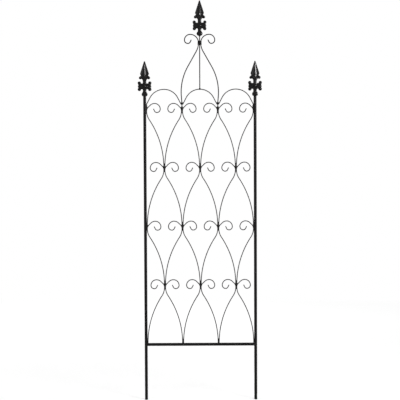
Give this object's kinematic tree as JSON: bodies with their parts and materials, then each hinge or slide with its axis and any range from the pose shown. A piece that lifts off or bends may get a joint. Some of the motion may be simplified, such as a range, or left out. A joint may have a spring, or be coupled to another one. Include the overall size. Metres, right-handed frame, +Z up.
{
  "type": "garden trellis",
  "caption": "Flat wrought garden trellis with tube posts, a lattice of bent wire scrolls under arches, and a crown with cast spear finials.",
  "frame": {"origin": "on the ground under the feet, half way between the posts and in the plane of the panel: the middle of the bounding box's base", "axes": "+X across the panel, to the right seen from the front; +Y through the panel, away from the viewer; +Z up"},
  "size_m": [0.5652, 0.0224, 1.8247],
  "materials": {
    "tube": "satin black powder coat on steel tube",
    "wire": "satin black powder coat on drawn steel wire",
    "weld": "satin black powder coat over a rippled weld",
    "casting": "satin black powder coat on cast iron",
    "plug": "matt black moulded plastic"
  },
  "bodies": {
    "root": {"arch_1": "wire", "arch_2": "wire", "arch_3": "wire", "bottom_rail": "tube", "centre_finial": "casting", "centre_rod": "wire", "crown_collar": "casting", "landing_weld_1": "weld", "landing_weld_2": "weld", "left_arch_weld": "weld", "left_corner_weld": "weld", "left_crown_scroll": "wire", "left_finial": "casting", "left_foot_plug": "plug", "left_post": "tube", "right_arch_weld": "weld", "right_corner_weld": "weld", "right_crown_scroll": "wire", "right_finial": "casting", "right_foot_plug": "plug", "right_post": "tube", "rod_weld": "weld", "scroll_r1_1": "wire", "scroll_r1_2": "wire", "scroll_r1_3": "wire", "scroll_r1_4": "wire", "scroll_r1_5": "wire", "scroll_r1_6": "wire", "scroll_r2_1": "wire", "scroll_r2_2": "wire", "scroll_r2_3": "wire", "scroll_r2_4": "wire", "scroll_r2_5": "wire", "scroll_r2_6": "wire", "scroll_r3_1": "wire", "scroll_r3_2": "wire", "scroll_r3_3": "wire", "scroll_r3_4": "wire", "scroll_r3_5": "wire", "scroll_r3_6": "wire", "scroll_r4_1": "wire", "scroll_r4_2": "wire", "scroll_r4_3": "wire", "scroll_r4_4": "wire", "scroll_r4_5": "wire", "scroll_r4_6": "wire", "weld_r1_1": "weld", "weld_r1_2": "weld", "weld_r1_3": "weld", "weld_r1_4": "weld", "weld_r2_1": "weld", "weld_r2_2": "weld", "weld_r2_3": "weld", "weld_r3_1": "weld", "weld_r3_2": "weld", "weld_r3_3": "weld", "weld_r3_4": "weld", "weld_r4_1": "weld", "weld_r4_2": "weld", "weld_r4_3": "weld"}
  },
  "joints": []
}
